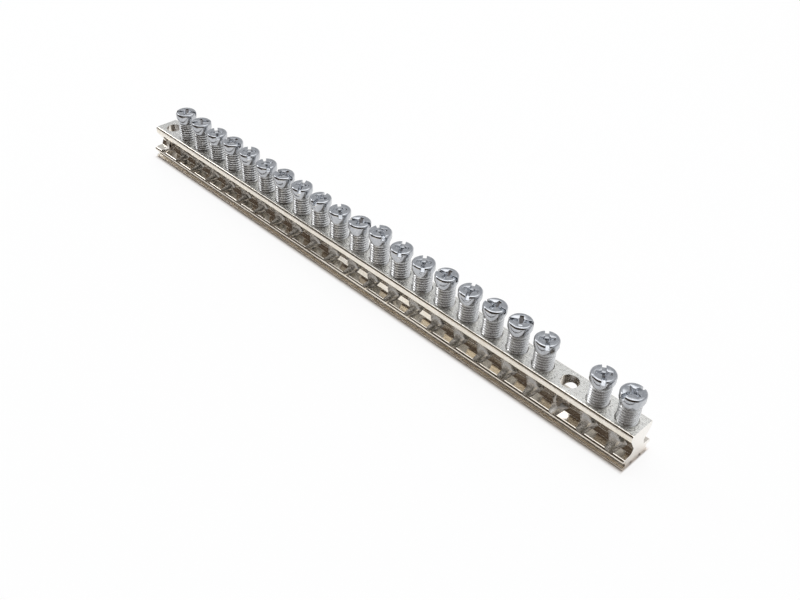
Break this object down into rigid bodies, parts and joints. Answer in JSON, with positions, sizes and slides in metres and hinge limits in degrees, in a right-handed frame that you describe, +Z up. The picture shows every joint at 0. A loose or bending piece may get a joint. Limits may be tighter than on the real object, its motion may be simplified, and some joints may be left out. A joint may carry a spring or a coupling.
{
  "type": "earth terminal bar",
  "caption": "Extruded aluminium earth bar with a channelled section, a row of cross-drilled wire holes, a clamping screw over each and two vertical mounting holes.",
  "frame": {"origin": "middle of the bar's underside, on the plane that it is mounted on", "axes": "+X along the bar towards the end with two screws past the mounting hole, +Y across the bar, +Z up along the screws"},
  "size_m": [0.2198, 0.0126, 0.0235],
  "materials": {
    "bar_aluminium": "satin",
    "screw_zinc": "gloss"
  },
  "bodies": {
    "bar": {"terminal_bar": "bar_aluminium"},
    "screw_01": {"terminal_screw_01": "screw_zinc"},
    "screw_02": {"terminal_screw_02": "screw_zinc"},
    "screw_03": {"terminal_screw_03": "screw_zinc"},
    "screw_04": {"terminal_screw_04": "screw_zinc"},
    "screw_05": {"terminal_screw_05": "screw_zinc"},
    "screw_06": {"terminal_screw_06": "screw_zinc"},
    "screw_07": {"terminal_screw_07": "screw_zinc"},
    "screw_08": {"terminal_screw_08": "screw_zinc"},
    "screw_09": {"terminal_screw_09": "screw_zinc"},
    "screw_10": {"terminal_screw_10": "screw_zinc"},
    "screw_11": {"terminal_screw_11": "screw_zinc"},
    "screw_12": {"terminal_screw_12": "screw_zinc"},
    "screw_13": {"terminal_screw_13": "screw_zinc"},
    "screw_14": {"terminal_screw_14": "screw_zinc"},
    "screw_15": {"terminal_screw_15": "screw_zinc"},
    "screw_16": {"terminal_screw_16": "screw_zinc"},
    "screw_17": {"terminal_screw_17": "screw_zinc"},
    "screw_18": {"terminal_screw_18": "screw_zinc"},
    "screw_19": {"terminal_screw_19": "screw_zinc"},
    "screw_20": {"terminal_screw_20": "screw_zinc"},
    "screw_21": {"terminal_screw_21": "screw_zinc"}
  },
  "joints": [
    {"name": "screw_01_travel", "type": "slide", "parent": "bar", "child": "screw_01", "axis": [0, 0, 1], "range_m": [-0.006, 0]},
    {"name": "screw_02_travel", "type": "slide", "parent": "bar", "child": "screw_02", "axis": [0, 0, 1], "range_m": [-0.0057, 0]},
    {"name": "screw_03_travel", "type": "slide", "parent": "bar", "child": "screw_03", "axis": [0, 0, 1], "range_m": [-0.0054, 0]},
    {"name": "screw_04_travel", "type": "slide", "parent": "bar", "child": "screw_04", "axis": [0, 0, 1], "range_m": [-0.0058, 0]},
    {"name": "screw_05_travel", "type": "slide", "parent": "bar", "child": "screw_05", "axis": [0, 0, 1], "range_m": [-0.0058, 0]},
    {"name": "screw_06_travel", "type": "slide", "parent": "bar", "child": "screw_06", "axis": [0, 0, 1], "range_m": [-0.0052, 0]},
    {"name": "screw_07_travel", "type": "slide", "parent": "bar", "child": "screw_07", "axis": [0, 0, 1], "range_m": [-0.0054, 0]},
    {"name": "screw_08_travel", "type": "slide", "parent": "bar", "child": "screw_08", "axis": [0, 0, 1], "range_m": [-0.0053, 0]},
    {"name": "screw_09_travel", "type": "slide", "parent": "bar", "child": "screw_09", "axis": [0, 0, 1], "range_m": [-0.0051, 0]},
    {"name": "screw_10_travel", "type": "slide", "parent": "bar", "child": "screw_10", "axis": [0, 0, 1], "range_m": [-0.005, 0]},
    {"name": "screw_11_travel", "type": "slide", "parent": "bar", "child": "screw_11", "axis": [0, 0, 1], "range_m": [-0.0052, 0]},
    {"name": "screw_12_travel", "type": "slide", "parent": "bar", "child": "screw_12", "axis": [0, 0, 1], "range_m": [-0.0064, 0]},
    {"name": "screw_13_travel", "type": "slide", "parent": "bar", "child": "screw_13", "axis": [0, 0, 1], "range_m": [-0.0052, 0]},
    {"name": "screw_14_travel", "type": "slide", "parent": "bar", "child": "screw_14", "axis": [0, 0, 1], "range_m": [-0.0049, 0]},
    {"name": "screw_15_travel", "type": "slide", "parent": "bar", "child": "screw_15", "axis": [0, 0, 1], "range_m": [-0.0056, 0]},
    {"name": "screw_16_travel", "type": "slide", "parent": "bar", "child": "screw_16", "axis": [0, 0, 1], "range_m": [-0.0053, 0]},
    {"name": "screw_17_travel", "type": "slide", "parent": "bar", "child": "screw_17", "axis": [0, 0, 1], "range_m": [-0.0053, 0]},
    {"name": "screw_18_travel", "type": "slide", "parent": "bar", "child": "screw_18", "axis": [0, 0, 1], "range_m": [-0.0054, 0]},
    {"name": "screw_19_travel", "type": "slide", "parent": "bar", "child": "screw_19", "axis": [0, 0, 1], "range_m": [-0.0049, 0]},
    {"name": "screw_20_travel", "type": "slide", "parent": "bar", "child": "screw_20", "axis": [0, 0, 1], "range_m": [-0.0051, 0]},
    {"name": "screw_21_travel", "type": "slide", "parent": "bar", "child": "screw_21", "axis": [0, 0, 1], "range_m": [-0.0051, 0]}
  ]
}
